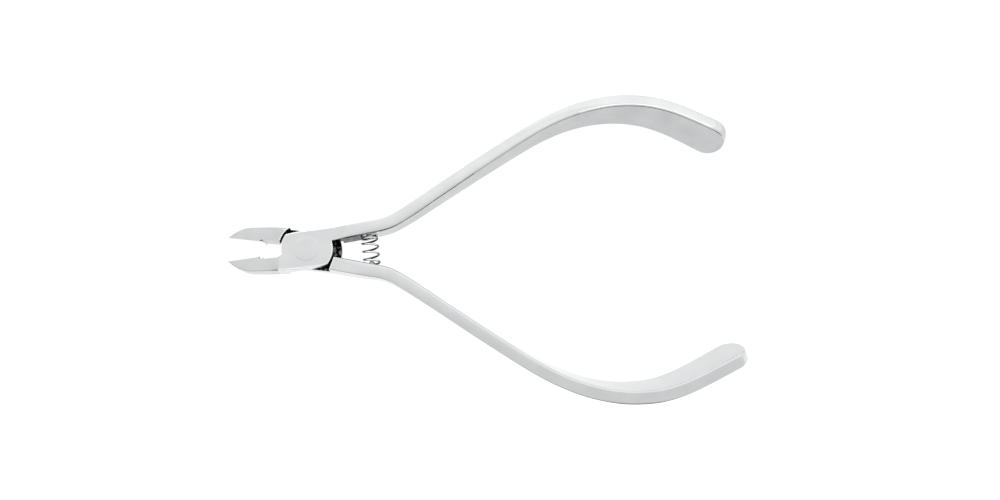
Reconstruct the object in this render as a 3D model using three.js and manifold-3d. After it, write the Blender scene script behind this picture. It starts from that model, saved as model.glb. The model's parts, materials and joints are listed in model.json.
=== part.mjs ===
// Sprue nippers: all-steel side-cutting nippers with a lap joint and a barrel return spring.
//
// Units are millimetres. The origin is on the pivot axis, at the rear face of the joint. +X runs towards the
// palm ends of the handles, +Y towards the handle of the front half, and +Z out of the joint's front face.
// Both halves are drawn once, with the handle at +Y and the jaw at -Y, about the joint's middle plane z = 0.
// The rear half is that drawing mirrored in Y, and the whole group is then lifted onto its rear face.
import * as THREE from "three";
import { mergeVertices } from "three/addons/utils/BufferGeometryUtils.js";
import Module from "manifold-3d";

const wasm = await Module();
wasm.setup();

// ---- Driving dimensions ----------------------------------------------------------------------------------

// Lap joint: each half fills one layer of it inside the pockets, and both layers outside them.
const JOINT_THICKNESS = 6.8;
const LAP_GAP = 0.12;
const HALF_THICKNESS = JOINT_THICKNESS / 2;
const PLATE_RADIUS = 5.65;
const SHOULDER_GAP = 0.5;
const SLIM_HEEL = { radius: 5.95, endAngle: -36 };
const WIDE_HEEL = { radius: 7.8, endAngle: -22 };
const HANDLE_ROOT_ANGLE = 17;
const SHOULDER_TANGENT_ANGLE = 20;

// Flush pivot rivet with a countersunk head at each end.
const RIVET_SHANK_RADIUS = 2;
const RIVET_HEAD_RADIUS = 2.85;
const RIVET_HEAD_DEPTH = 1.3;
const RUNNING_CLEARANCE = 0.08;

// Jaw: the cutting edge runs from the tip to the heel, and the relief from there to the joint.
const TIP = new THREE.Vector2(-17.45, -2.68);
const EDGE_HEEL = new THREE.Vector2(-10.35, -1.76);
const TOOTH_END = new THREE.Vector2(-9.75, -1.72);
const RELIEF_STEP = new THREE.Vector2(-9.3, -2.2);
const RELIEF_END = new THREE.Vector2(-6.3, -1.98);
const JAW_CORNER = new THREE.Vector2(-12.5, -5);
const JAW_TAPER_START = -6;
const FRONT_TAPER_AT_TIP = 0.9;
const REAR_TAPER_AT_TIP = 1.9;
const EDGE_BEVEL_ANGLE = 21;
const NOTCH_CENTRE = new THREE.Vector2(-9.95, -1.85);
const NOTCH_RADIUS = 0.34;

// Edges of the joint plate: from left to right along the handle side, and right to left along the jaw side.
const HANDLE_SIDE_EDGE = [
  new THREE.Vector2(-4.65, 3.35),
  new THREE.Vector2(-2.1, 3.9),
  new THREE.Vector2(1, 4.3),
  new THREE.Vector2(5.5, 4.88),
  new THREE.Vector2(8.5, 5.42),
];
const NECK_INSIDE = new THREE.Vector2(8.5, 2.35);
const JAW_SIDE_EDGE = [
  new THREE.Vector2(3.2, -4.05),
  new THREE.Vector2(-0.6, -4.47),
  new THREE.Vector2(-3.6, -4.85),
  new THREE.Vector2(-8, -5.05),
  JAW_CORNER,
];
const JAW_NOSE = [
  new THREE.Vector2(-14, -4.65),
  new THREE.Vector2(-15.75, -3.86),
  TIP,
];

// Handle bar: its centre line, its thickness across the grip, its width along Z, and how far the bar is
// twisted about its centre line, in degrees, so that the inside of the palm end turns towards the front.
// The rear half's handle is the longer one.
const HANDLE_STATIONS = [
  { x: 5.5, y: 3.33, thickness: 3.15, width: 6.8, twist: 0 },
  { x: 12.5, y: 4.6, thickness: 3.1, width: 6.8, twist: 1 },
  { x: 18, y: 5.7, thickness: 3.05, width: 6.9, twist: 2 },
  { x: 22.5, y: 8.03, thickness: 3.08, width: 7, twist: 3.5 },
  { x: 30.3, y: 13.16, thickness: 3, width: 7.1, twist: 5.5 },
  { x: 42.4, y: 21.12, thickness: 3, width: 6.8, twist: 9.5 },
  { x: 54.6, y: 28.5, thickness: 3, width: 6.6, twist: 14 },
  { x: 64.7, y: 32.35, thickness: 3.15, width: 7.1, twist: 17.5 },
  { x: 74.7, y: 33.45, thickness: 3.25, width: 7.8, twist: 21 },
  { x: 84.6, y: 31.5, thickness: 3.2, width: 8.8, twist: 22 },
];
const PALM_END = { thickness: 3.05, width: 9.8, twist: 22.5 };
const FRONT_PALM_END = { ...PALM_END, x: 98, y: 25.15 };
const REAR_PALM_END = { ...PALM_END, x: 100.2, y: 24 };
const HANDLE_STEPS = 60;
const HANDLE_CHAMFER = 0.4;
const END_ROUND_LENGTH = 4;
const END_ROUND_STEPS = 8;
const END_ROUND_FULLNESS = 0.96;
const END_THINNING = 0.3;

// Barrel spring, from its top end to its bottom end: open turns between closed ones. Its axis leans a
// little from peg to peg, and the end turns lie along the handles' inside faces.
const SPRING_TOP = new THREE.Vector2(14, 3.07);
const SPRING_BOTTOM_X = 14.6;
const COIL_RADIUS = 1.77;
const WIRE_RADIUS = 0.23;
const CLOSED_TURNS_ABOVE = 1;
const OPEN_TURNS = 3;
const CLOSED_TURNS_BELOW = 0.5;
const OPEN_PITCH = 1.83;
const CLOSED_PITCH = 0.48;
const INSIDE_FACE_SLOPE = 0.2;

// Pegs that locate the spring, pressed into the inside faces of the handles.
const PEG_RADIUS = 0.65;
const PEG_PROUD = 1;
const PEG_BURIED = 1.5;
const PEG_DOME = 0.3;
const PEG_SEAT_Y = 3.4;
const PEG_FIT_GAP = 0.1;

const ROUND_SEGMENTS = 48;
const OUTLINE_SEGMENTS = 12;
const WIRE_SEGMENTS = 4;
const SPRING_STEPS = 80;
const CUTTER_REACH = 12;

const radians = THREE.MathUtils.degToRad;

// ---- Solids ----------------------------------------------------------------------------------------------

function solidOf(geometry) {
  const bare = geometry.clone();
  bare.deleteAttribute("normal");
  bare.deleteAttribute("uv");
  const merged = mergeVertices(bare);
  return new wasm.Manifold(new wasm.Mesh({
    numProp: 3,
    vertProperties: new Float32Array(merged.attributes.position.array),
    triVerts: new Uint32Array(merged.index.array),
  }));
}

function geometryOf(solid) {
  const mesh = solid.getMesh();
  const geometry = new THREE.BufferGeometry();
  geometry.setAttribute("position", new THREE.BufferAttribute(mesh.vertProperties, 3));
  geometry.setIndex(new THREE.BufferAttribute(mesh.triVerts, 1));
  geometry.computeVertexNormals();
  return geometry;
}

// Mirrors a geometry in Y and turns its faces round, so that they still point out.
function mirroredInY(geometry) {
  const mirrored = geometry.clone().scale(1, -1, 1);
  const corners = mirrored.index.array;
  for (let i = 0; i < corners.length; i += 3) {
    const second = corners[i + 1];
    corners[i + 1] = corners[i + 2];
    corners[i + 2] = second;
  }
  mirrored.computeVertexNormals();
  return mirrored;
}

// A flat outline in X and Y, made into a plate between two heights.
function plateBetween(outline, bottom, top) {
  const plate = new THREE.ExtrudeGeometry(outline, {
    depth: top - bottom,
    bevelEnabled: false,
    curveSegments: OUTLINE_SEGMENTS,
  });
  return plate.translate(0, 0, bottom);
}

// A profile of radius and height, turned about the Z axis.
function turnedAboutZ(profile, segments) {
  const points = profile.map(([radius, height]) => new THREE.Vector2(radius, height));
  return new THREE.LatheGeometry(points, segments).rotateX(Math.PI / 2);
}

// ---- Handle ----------------------------------------------------------------------------------------------

// The bar of one half: a chamfered unit section swept straight, then bent onto the centre line.
class HandleBar {
  constructor(palmEnd) {
    const stations = [...HANDLE_STATIONS, palmEnd];
    const through = (toVector) =>
      new THREE.CatmullRomCurve3(stations.map(toVector), false, "catmullrom", 0.5);
    this.centreLine = through((s) => new THREE.Vector3(s.x, s.y, 0));
    this.section = through((s) => new THREE.Vector3(s.thickness, s.width, s.twist));
    this.roundStart = 1 - END_ROUND_LENGTH / this.centreLine.getLength();
  }

  // How far along the bar, from 0 to 1, a step lies: even along the bar and crowded round its end.
  distanceAt(step) {
    const straightSteps = HANDLE_STEPS - END_ROUND_STEPS;
    if (step <= straightSteps) return (this.roundStart * step) / straightSteps;
    const turn = ((step - straightSteps) / END_ROUND_STEPS) * (Math.PI / 2);
    return this.roundStart + (1 - this.roundStart) * Math.sin(turn);
  }

  // Places a corner of the unit section (-1 to 1 each way) at its distance along the bar.
  pointAt(across, along, distance) {
    const parameter = this.centreLine.getUtoTmapping(distance);
    const centre = this.centreLine.getPoint(parameter);
    const tangent = this.centreLine.getTangent(parameter);
    const section = this.section.getPoint(parameter);
    const intoEnd =
      Math.max(0, (distance - this.roundStart) / (1 - this.roundStart)) * END_ROUND_FULLNESS;
    const halfThickness = (section.x / 2) * (1 - END_THINNING * intoEnd ** 2);
    const halfWidth = (section.y / 2) * Math.sqrt(1 - intoEnd ** 2);
    const chamfer = Math.min(HANDLE_CHAMFER, halfWidth / 2);
    const fromCorner = (value, half) => Math.sign(value) * (Math.abs(value) < 1 ? half - chamfer : half);
    const twist = radians(section.z);
    const outward = new THREE.Vector3(-tangent.y, tangent.x, 0);
    const forward = new THREE.Vector3(0, 0, 1);
    const acrossGrip = outward.clone().multiplyScalar(Math.cos(twist))
      .addScaledVector(forward, -Math.sin(twist));
    const acrossWidth = forward.clone().multiplyScalar(Math.cos(twist))
      .addScaledVector(outward, Math.sin(twist));
    return centre
      .addScaledVector(acrossGrip, fromCorner(across, halfThickness))
      .addScaledVector(acrossWidth, fromCorner(along, halfWidth));
  }

  geometry() {
    const inset = 0.5;
    const section = new THREE.Shape([
      new THREE.Vector2(inset, -1),
      new THREE.Vector2(1, -inset),
      new THREE.Vector2(1, inset),
      new THREE.Vector2(inset, 1),
      new THREE.Vector2(-inset, 1),
      new THREE.Vector2(-1, inset),
      new THREE.Vector2(-1, -inset),
      new THREE.Vector2(-inset, -1),
    ]);
    const bar = new THREE.ExtrudeGeometry(section, {
      depth: HANDLE_STEPS,
      steps: HANDLE_STEPS,
      bevelEnabled: false,
    });
    const position = bar.attributes.position;
    for (let i = 0; i < position.count; i += 1) {
      const distance = this.distanceAt(Math.round(position.getZ(i)));
      const point = this.pointAt(position.getX(i), position.getY(i), distance);
      position.setXYZ(i, point.x, point.y, point.z);
    }
    return bar;
  }
}

// ---- Jaw and joint plate ---------------------------------------------------------------------------------

function jawAndPlateOutline(heel) {
  const outline = new THREE.Shape();
  outline.moveTo(TIP.x, TIP.y);
  outline.lineTo(EDGE_HEEL.x, EDGE_HEEL.y);
  outline.lineTo(TOOTH_END.x, TOOTH_END.y);
  outline.lineTo(RELIEF_STEP.x, RELIEF_STEP.y);
  outline.lineTo(RELIEF_END.x, RELIEF_END.y);
  const plateStart = Math.PI + radians(12);
  const plateEnd = HANDLE_SIDE_EDGE[0].angle();
  outline.absarc(0, 0, PLATE_RADIUS, plateStart, plateEnd, true);
  outline.splineThru(HANDLE_SIDE_EDGE.slice(1));
  outline.lineTo(NECK_INSIDE.x, NECK_INSIDE.y);
  outline.absarc(0, 0, heel.radius, radians(HANDLE_ROOT_ANGLE), radians(heel.endAngle), true);
  outline.splineThru(JAW_SIDE_EDGE);
  outline.splineThru(JAW_NOSE);
  return outline;
}

// The room that one half leaves for the other's plate: a round pocket whose handle side may be wider than
// its jaw side, with a shoulder that runs straight out from the tangent angle.
function pocketOutline(otherHeel) {
  const jawSide = PLATE_RADIUS + SHOULDER_GAP;
  const handleSide = otherHeel.radius + SHOULDER_GAP;
  const tangent = radians(SHOULDER_TANGENT_ANGLE);
  const outline = new THREE.Shape();
  outline.absarc(0, 0, jawSide, Math.PI / 2, 1.5 * Math.PI, false);
  outline.absarc(0, 0, handleSide, -Math.PI / 2, tangent, false);
  const shoulderEnd = outline.currentPoint.clone();
  shoulderEnd.x -= Math.sin(tangent) * CUTTER_REACH;
  shoulderEnd.y += Math.cos(tangent) * CUTTER_REACH;
  outline.lineTo(shoulderEnd.x, shoulderEnd.y);
  outline.lineTo(0, shoulderEnd.y);
  return outline;
}

// Thins the jaw towards its tip: a wedge over the sloping plane, on the front (+1) or the rear (-1).
function taperCutter(facing, taperAtTip) {
  const slope = taperAtTip / (JAW_TAPER_START - TIP.x);
  const end = TIP.x - CUTTER_REACH;
  const endHeight = HALF_THICKNESS - slope * (JAW_TAPER_START - end);
  const wedge = new THREE.Shape([
    new THREE.Vector2(JAW_TAPER_START, facing * HALF_THICKNESS),
    new THREE.Vector2(JAW_TAPER_START, facing * (HALF_THICKNESS + CUTTER_REACH)),
    new THREE.Vector2(end, facing * (HALF_THICKNESS + CUTTER_REACH)),
    new THREE.Vector2(end, facing * endHeight),
  ]);
  const cutter = new THREE.ExtrudeGeometry(wedge, { depth: 2 * CUTTER_REACH, bevelEnabled: false });
  return cutter.rotateX(Math.PI / 2).translate(0, CUTTER_REACH, 0);
}

// Grinds the inside of the jaw back from the cutting edge, which stays on the sloping front face.
function edgeBevelCutter() {
  const frontSlope = FRONT_TAPER_AT_TIP / (JAW_TAPER_START - TIP.x);
  const heightAt = (point) => HALF_THICKNESS - frontSlope * (JAW_TAPER_START - point.x);
  const heel = new THREE.Vector3(EDGE_HEEL.x, EDGE_HEEL.y, heightAt(EDGE_HEEL));
  const tip = new THREE.Vector3(TIP.x, TIP.y, heightAt(TIP));
  const alongEdge = tip.clone().sub(heel).normalize();
  const intoJaw = new THREE.Vector3(-alongEdge.y, alongEdge.x, 0).normalize();
  const upFace = new THREE.Vector3().crossVectors(alongEdge, intoJaw);
  const depth = CUTTER_REACH;
  const section = new THREE.Shape([
    new THREE.Vector2(0, 0),
    new THREE.Vector2(-depth, 0),
    new THREE.Vector2(-depth, -depth),
    new THREE.Vector2(Math.tan(radians(EDGE_BEVEL_ANGLE)) * depth, -depth),
  ]);
  const cutter = new THREE.ExtrudeGeometry(section, { depth: CUTTER_REACH, bevelEnabled: false });
  const basis = new THREE.Matrix4().makeBasis(intoJaw, upFace, alongEdge).setPosition(heel);
  return cutter.applyMatrix4(basis);
}

function notchCutter() {
  const notch = new THREE.CylinderGeometry(NOTCH_RADIUS, NOTCH_RADIUS, 2 * CUTTER_REACH, ROUND_SEGMENTS / 3);
  return notch.rotateX(Math.PI / 2).translate(NOTCH_CENTRE.x, NOTCH_CENTRE.y, 0);
}

// ---- Rivet, pegs and spring ------------------------------------------------------------------------------

// Half-profile of the rivet, grown by a clearance, and run out past both faces where it cuts its own hole.
function rivetProfile(clearance, runOut) {
  const shank = RIVET_SHANK_RADIUS + clearance;
  const head = RIVET_HEAD_RADIUS + clearance;
  const shankEnd = HALF_THICKNESS - RIVET_HEAD_DEPTH;
  const face = HALF_THICKNESS;
  const profile = [[0, -face - runOut], [head, -face - runOut]];
  if (runOut > 0) profile.push([head, -face]);
  profile.push([shank, -shankEnd], [shank, shankEnd]);
  if (runOut > 0) profile.push([head, face]);
  profile.push([head, face + runOut], [0, face + runOut]);
  return profile;
}

// A peg on the Y axis, standing up into the spring from below. Its seat is at y = 0.
function pegGeometry(clearance) {
  const radius = PEG_RADIUS + clearance;
  const profile = [
    [0, -PEG_BURIED - clearance],
    [radius, -PEG_BURIED - clearance],
    [radius, PEG_PROUD - PEG_DOME],
    [radius - PEG_DOME, PEG_PROUD],
    [0, PEG_PROUD],
  ];
  const points = profile.map(([distance, height]) => new THREE.Vector2(distance, height));
  return new THREE.LatheGeometry(points, ROUND_SEGMENTS / 3);
}

// A peg in a half whose handle is at +Y points down, out of the handle's inside face.
const pegInHandle = (x, clearance) => pegGeometry(clearance).rotateX(Math.PI).translate(x, PEG_SEAT_Y, 0);

// Left-handed coil, followed downwards from its top end.
class BarrelSpringCurve extends THREE.Curve {
  constructor() {
    super();
    this.turns = CLOSED_TURNS_ABOVE + OPEN_TURNS + CLOSED_TURNS_BELOW;
    this.lean = (SPRING_BOTTOM_X - SPRING_TOP.x) / this.dropAt(this.turns);
  }

  dropAt(turn) {
    const open = THREE.MathUtils.clamp(turn - CLOSED_TURNS_ABOVE, 0, OPEN_TURNS);
    return CLOSED_PITCH * (turn - open) + OPEN_PITCH * open;
  }

  getPoint(t, target = new THREE.Vector3()) {
    const turn = this.turns * t;
    const drop = this.dropAt(turn);
    const nearTop = Math.max(0, 1 - turn / CLOSED_TURNS_ABOVE);
    const nearBottom = Math.max(0, 1 - (this.turns - turn) / CLOSED_TURNS_BELOW);
    const slope = this.lean * (1 - nearTop - nearBottom) + INSIDE_FACE_SLOPE * (nearTop - nearBottom);
    const sideways = COIL_RADIUS * Math.cos(2 * Math.PI * turn);
    return target.set(
      SPRING_TOP.x + this.lean * drop + sideways,
      SPRING_TOP.y - drop + slope * sideways,
      -COIL_RADIUS * Math.sin(2 * Math.PI * turn),
    );
  }
}

function barrelSpring() {
  const wire = new THREE.Shape();
  wire.absarc(0, 0, WIRE_RADIUS, 0, 2 * Math.PI, false);
  return new THREE.ExtrudeGeometry(wire, {
    curveSegments: WIRE_SEGMENTS,
    steps: SPRING_STEPS,
    bevelEnabled: false,
    extrudePath: new BarrelSpringCurve(),
  });
}

// ---- Halves ----------------------------------------------------------------------------------------------

// One half with its handle at +Y: a full-thickness jaw and handle, cut away by a pocket for the other half's
// plate, and this half's own plate in the layer that is left. The pocket opens to the rear face of the joint
// (-1) in the half whose plate is in front, and to the front face (+1) in the other.
function halfGeometry({ heel, otherHeel, pocketFacing, palmEnd, pegX }) {
  const lap = pocketFacing * (LAP_GAP / -2);
  const layerBetween = (outline, reach) => plateBetween(outline, Math.min(lap, reach), Math.max(lap, reach));
  const half = solidOf(plateBetween(jawAndPlateOutline(SLIM_HEEL), -HALF_THICKNESS, HALF_THICKNESS))
    .add(solidOf(new HandleBar(palmEnd).geometry()))
    .subtract(solidOf(layerBetween(pocketOutline(otherHeel), pocketFacing * CUTTER_REACH)))
    .add(solidOf(layerBetween(jawAndPlateOutline(heel), pocketFacing * -HALF_THICKNESS)))
    .subtract(solidOf(taperCutter(1, FRONT_TAPER_AT_TIP)))
    .subtract(solidOf(taperCutter(-1, REAR_TAPER_AT_TIP)))
    .subtract(solidOf(edgeBevelCutter()))
    .subtract(solidOf(notchCutter()))
    .subtract(solidOf(turnedAboutZ(rivetProfile(RUNNING_CLEARANCE, 1), ROUND_SEGMENTS)))
    .subtract(solidOf(pegInHandle(pegX, PEG_FIT_GAP)));
  return geometryOf(half);
}

function namedMesh(name, geometry, { color, roughness }) {
  const mesh = new THREE.Mesh(geometry, new THREE.MeshStandardMaterial({ color, roughness, metalness: 1 }));
  mesh.name = name;
  return mesh;
}

const POLISHED_STEEL = { color: 0xdfe0e1, roughness: 0.25 };
const RIVET_STEEL = { color: 0xd8d9da, roughness: 0.3 };
const SPRING_STEEL = { color: 0xc8cacc, roughness: 0.15 };

const front = {
  heel: SLIM_HEEL,
  otherHeel: WIDE_HEEL,
  pocketFacing: -1,
  palmEnd: FRONT_PALM_END,
  pegX: SPRING_TOP.x,
};
const rear = {
  heel: WIDE_HEEL,
  otherHeel: SLIM_HEEL,
  pocketFacing: 1,
  palmEnd: REAR_PALM_END,
  pegX: SPRING_BOTTOM_X,
};

const nippers = new THREE.Group();
nippers.add(
  namedMesh("front_half", halfGeometry(front), POLISHED_STEEL),
  namedMesh("rear_half", mirroredInY(halfGeometry(rear)), POLISHED_STEEL),
  namedMesh("pivot_rivet", turnedAboutZ(rivetProfile(0, 0), ROUND_SEGMENTS), RIVET_STEEL),
  namedMesh("barrel_spring", barrelSpring(), SPRING_STEEL),
  namedMesh("upper_spring_peg", pegInHandle(front.pegX, 0), RIVET_STEEL),
  namedMesh("lower_spring_peg", pegInHandle(rear.pegX, 0).rotateX(Math.PI), RIVET_STEEL),
);
nippers.position.z = HALF_THICKNESS;

export default nippers;
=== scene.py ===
"""Looks of the sprue nippers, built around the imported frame.

The two halves, the rivet, the pegs and the spring are rebuilt as fine meshes over their CAD nodes. Shapes
are drawn in millimetres about the joint's middle plane, each half with its handle at +Y and its jaw at -Y.
The rear half is mirrored in Y, and everything is then brought into the frame: metres, from the joint's rear
face.
"""

import json
import math

import bmesh
import bpy
from mathutils import Matrix, Vector


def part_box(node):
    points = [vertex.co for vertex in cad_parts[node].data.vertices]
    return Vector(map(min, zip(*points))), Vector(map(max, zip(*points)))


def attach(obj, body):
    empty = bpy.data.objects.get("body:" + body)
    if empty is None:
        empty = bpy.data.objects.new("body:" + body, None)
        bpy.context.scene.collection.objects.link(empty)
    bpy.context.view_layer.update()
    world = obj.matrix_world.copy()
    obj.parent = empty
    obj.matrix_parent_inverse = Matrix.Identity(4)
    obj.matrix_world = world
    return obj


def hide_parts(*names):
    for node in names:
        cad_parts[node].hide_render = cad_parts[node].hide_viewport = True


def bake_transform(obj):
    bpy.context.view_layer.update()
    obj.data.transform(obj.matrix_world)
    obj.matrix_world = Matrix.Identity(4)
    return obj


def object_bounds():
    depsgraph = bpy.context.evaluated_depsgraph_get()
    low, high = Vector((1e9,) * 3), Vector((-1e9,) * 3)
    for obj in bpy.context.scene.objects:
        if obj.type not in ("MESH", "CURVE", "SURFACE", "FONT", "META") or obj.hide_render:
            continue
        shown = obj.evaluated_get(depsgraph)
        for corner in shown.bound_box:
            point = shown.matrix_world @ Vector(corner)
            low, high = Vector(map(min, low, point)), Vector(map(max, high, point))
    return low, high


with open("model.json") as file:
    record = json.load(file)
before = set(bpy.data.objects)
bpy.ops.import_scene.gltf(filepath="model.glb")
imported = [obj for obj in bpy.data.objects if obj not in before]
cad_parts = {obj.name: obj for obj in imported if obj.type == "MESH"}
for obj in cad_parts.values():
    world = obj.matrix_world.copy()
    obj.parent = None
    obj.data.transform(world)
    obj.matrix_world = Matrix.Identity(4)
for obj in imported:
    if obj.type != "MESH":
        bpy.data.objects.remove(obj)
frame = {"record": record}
cad_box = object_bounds()

# ---- Sizes from the frame --------------------------------------------------------------------------------

MM = 0.001
MOUNT = {mount["name"]: Vector(mount["pos_m"]) for mount in frame["record"]["mounts"]}
MIDDLE = MOUNT["front_joint_face"].z / 2
FACE = MIDDLE / MM


def box_mm(node):
    """Lowest and highest corners of a CAD node, in millimetres about the joint's middle plane."""
    low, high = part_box(node)
    lift = Vector((0, 0, MIDDLE))
    return (low - lift) / MM, (high - lift) / MM


JAW_TIP_X = box_mm("front_half")[0].x
RIVET_HEAD_RADIUS = box_mm("pivot_rivet")[1].x

# ---- Driving dimensions, in millimetres and degrees ------------------------------------------------------

# Joint.
LAP_GAP = 0.12
PLATE_RADIUS = 5.65
SHOULDER_GAP = 0.5
SLIM_HEEL_RADIUS = 5.95
SLIM_HEEL_END_ANGLE = -36
WIDE_HEEL_RADIUS = 7.8
WIDE_HEEL_END_ANGLE = -22
HANDLE_ROOT_ANGLE = 17
SHOULDER_TANGENT_ANGLE = 20
RELIEF_JOIN_ANGLE = 192
PLATE_TOP_EDGE = [(-4.65, 3.35), (-2.1, 3.9), (1, 4.3), (5.5, 4.88)]

# Jaw. The rear half's front face slopes from further back, where its pocket already cuts it off.
TIP = Vector((JAW_TIP_X, -2.68))
EDGE_HEEL = Vector((-10.35, -1.76))
TOOTH_END = Vector((-9.75, -1.72))
RELIEF_STEP = Vector((-9.3, -2.2))
RELIEF_END = Vector((-6.3, -1.98))
JAW_CORNER = (-12.5, -5)
JAW_SIDE_EDGE = [(3.2, -4.05), (-0.6, -4.47), (-3.6, -4.85), (-8, -5.05), JAW_CORNER]
JAW_NOSE = [JAW_CORNER, (-14, -4.65), (-15.75, -3.86), (TIP.x, TIP.y)]
JAW_TAPER_START = -6
POCKET_TAPER_START = -4.2
FRONT_TAPER_AT_TIP = 0.9
REAR_TAPER_AT_TIP = 1.9
EDGE_BEVEL_ANGLE = 21
NOTCH_CENTRE = Vector((-9.95, -1.85))
NOTCH_RADIUS = 0.34

# Handle centre line and section: x, y, thickness, width, twist.
HANDLE_STATIONS = [
    (5.5, 3.33, 3.15, 6.8, 0),
    (12.5, 4.6, 3.1, 6.8, 1),
    (18, 5.7, 3.05, 6.9, 2),
    (22.5, 8.03, 3.08, 7, 3.5),
    (30.3, 13.16, 3, 7.1, 5.5),
    (42.4, 21.12, 3, 6.8, 9.5),
    (54.6, 28.5, 3, 6.6, 14),
    (64.7, 32.35, 3.15, 7.1, 17.5),
    (74.7, 33.45, 3.25, 7.8, 21),
    (84.6, 31.5, 3.2, 8.8, 22),
]
FRONT_PALM_END = (98, 25.15, 3.05, 9.8, 22.5)
REAR_PALM_END = (100.2, 24, 3.05, 9.8, 22.5)
NECK_SHARE = 0.03
END_ROUND_LENGTH = 4
END_ROUND_FULLNESS = 0.97
END_THINNING = 0.3
CROWN = 0.16
CROWN_GROWTH = 0.08
CROWN_LOSS = 0.6

# Roundings of the edges. The pairs are for the edge on the front face and the edge on the rear face.
OUTSIDE_ROUND = 0.25
INSIDE_ROUND = 0.48
LARGEST_ROUND_SHARE = 0.6
OUTSIDE_EDGE = (OUTSIDE_ROUND, OUTSIDE_ROUND)
INSIDE_EDGE = (INSIDE_ROUND, INSIDE_ROUND)
PLATE_EDGE = (0.18, 0.12)
PLATE_CORNER_EDGE = (0.3, 0.12)
RELIEF_EDGE = (0.05, 0.05)
CUTTING_EDGE = (0, 0)
TIP_EDGE = (0.02, 0.02)
FRONT_HALF_JAW_EDGE = (0.5, 1.1)
FRONT_HALF_JOINT_EDGE = (0.3, 0.85)
REAR_HALF_JAW_EDGE = (1.0, 0.6)
REAR_HALF_JOINT_EDGE = (0.7, 0.45)
SHOULDER_BREAK = 0.2
SHOULDER_BREAK_STEPS = 2
OUTER_SHARE = 0.75

# Where the surfaces of a half change.
NECK_X = 5
PLATE_X = 5
# Narrow edge strips get a painted highlight, up to a width and up to a place along the handle.
EDGE_HIGHLIGHT_WIDTH = 0.16
EDGE_HIGHLIGHT_END = 94
BURR_WIDTH = 0.15
BURR_START = 0.6
FOLD_START = 16
FOLD_FADE = 38
FOLD_END = 64

# Rivet and pegs.
RIVET_SHANK_RADIUS = 2
RIVET_HEAD_DEPTH = 1.3
RIVET_FIT = 0.01
RIVET_RIM = 0.03
RIVET_CROWN = 0.01
RIVET_FACE_RINGS = (0.9, 0.6, 0.3)
PEG_DOME_SHARE = 0.75

# Spring.
SPRING_TOP = Vector((14, 3.07))
SPRING_BOTTOM_X = 14.6
COIL_RADIUS = 1.77
WIRE_RADIUS = 0.23
WIRE_END_SHARE = 0.8
CLOSED_TURNS_ABOVE = 1
OPEN_TURNS = 3
CLOSED_TURNS_BELOW = 0.5
OPEN_PITCH = 1.83
CLOSED_PITCH = 0.48
INSIDE_FACE_SLOPE = 0.2
SPRING_TURNS = CLOSED_TURNS_ABOVE + OPEN_TURNS + CLOSED_TURNS_BELOW
SPRING_HEIGHT = CLOSED_PITCH * (CLOSED_TURNS_ABOVE + CLOSED_TURNS_BELOW) + OPEN_PITCH * OPEN_TURNS

# ---- How finely the meshes are made ----------------------------------------------------------------------

CORNER_STEPS = 4
CROWN_STEPS = 6
BAR_STEPS = 150
BAR_END_STEPS = 18
CURVE_STEPS = 10
ARC_STEP = 3
TURNED_SIDES = 96
PEG_SIDES = 48
PEG_DOME_STEPS = 8
NOTCH_SIDES = 24
COIL_STEPS = 56
WIRE_SIDES = 14
TURN_NUDGE = 0.002
CUTTER_REACH = 12
HOLE_OVERSHOOT = 1
MITRE_LIMIT = 0.35

# Millimetres within which points count as one, or as lying on a line.
WELD = 1e-5
WELD_AFTER_CUTS = 1e-4
NEAR = 0.02

# Angles in degrees, and the rest of what tells flat ground faces from rounded ones.
FLAT_ANGLE = 0.3
SHARP_ANGLE = 35
SMOOTH_ANGLE = 32
GROUND_CREASE_ANGLE = 2
GROUND_FACE_AREA = 0.3
CREASE_OVERLAP = 0.1
SMOOTHING_WEIGHT = 80

# How far a face's normal has to lean to count as level, flat, straight towards the pivot, and so on.
LEVEL_NORMAL = 0.99
FLAT_NORMAL = 0.9
PIVOT_NORMAL = 0.97
FOLD_NORMALS = (0.5, 0.75)
INNER_NORMAL = 0.6

# ---- Studio, in metres and degrees -----------------------------------------------------------------------

CAMERA_SIDE = -4.4
CAMERA_BELOW = 8.89
CAMERA_ROLL = 1.17
CAMERA_DISTANCE = 0.24
CAMERA_FOCAL_WIDTHS = 1.0367
CAMERA_TARGET = Vector((0.04404, -0.00018, MIDDLE))
CAMERA_NEAR = 0.001

FLOOR_GAP = 0.0003
FLOOR_REACH = 3
FLOOR_GREYS = (0.07, 0.08)
FLOOR_PATCHES = 30
FLOOR_ROUGHNESS = 0.9
FLOOR_SPECULAR = 0.1
FLOOR_GLOW = (0.97, 1.18)
FLOOR_GLOW_Y = (0.0, -0.03)

# Factors on the world's light, each as: from Y, to Y, factor there, factor there.
WORLD_SLOPE = (-0.25, 0.5, 0.98, 1.34)
WORLD_FALL = (0.55, 0.8, 1.0, 0.9)
WORLD_FLAG = (-0.8, -0.9, 1.0, 0.02)

KEY_PLACE = (0.1, 0.9, 0.5)
KEY_AIM = (0.04, 0, 0)
KEY_SIZE = (1.2, 0.5)
KEY_RADIANCE = 0.225


# ---- Curves ----------------------------------------------------------------------------------------------


def catmull_rom(points, parameter):
    """Point on a uniform Catmull-Rom curve through the points, for a parameter from 0 to 1."""
    spans = len(points) - 1
    place = min(max(parameter, 0), 1) * spans
    start = min(int(place), spans - 1)
    t = place - start
    p1 = Vector(points[start])
    p2 = Vector(points[start + 1])
    p0 = Vector(points[start - 1]) if start > 0 else 2 * p1 - p2
    p3 = Vector(points[start + 2]) if start < spans - 1 else 2 * p2 - p1
    leave = (p2 - p0) / 2
    arrive = (p3 - p1) / 2
    cubic = 2 * p1 - 2 * p2 + leave + arrive
    square = 3 * p2 - 3 * p1 - 2 * leave - arrive
    return cubic * t**3 + square * t**2 + leave * t + p1


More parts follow.
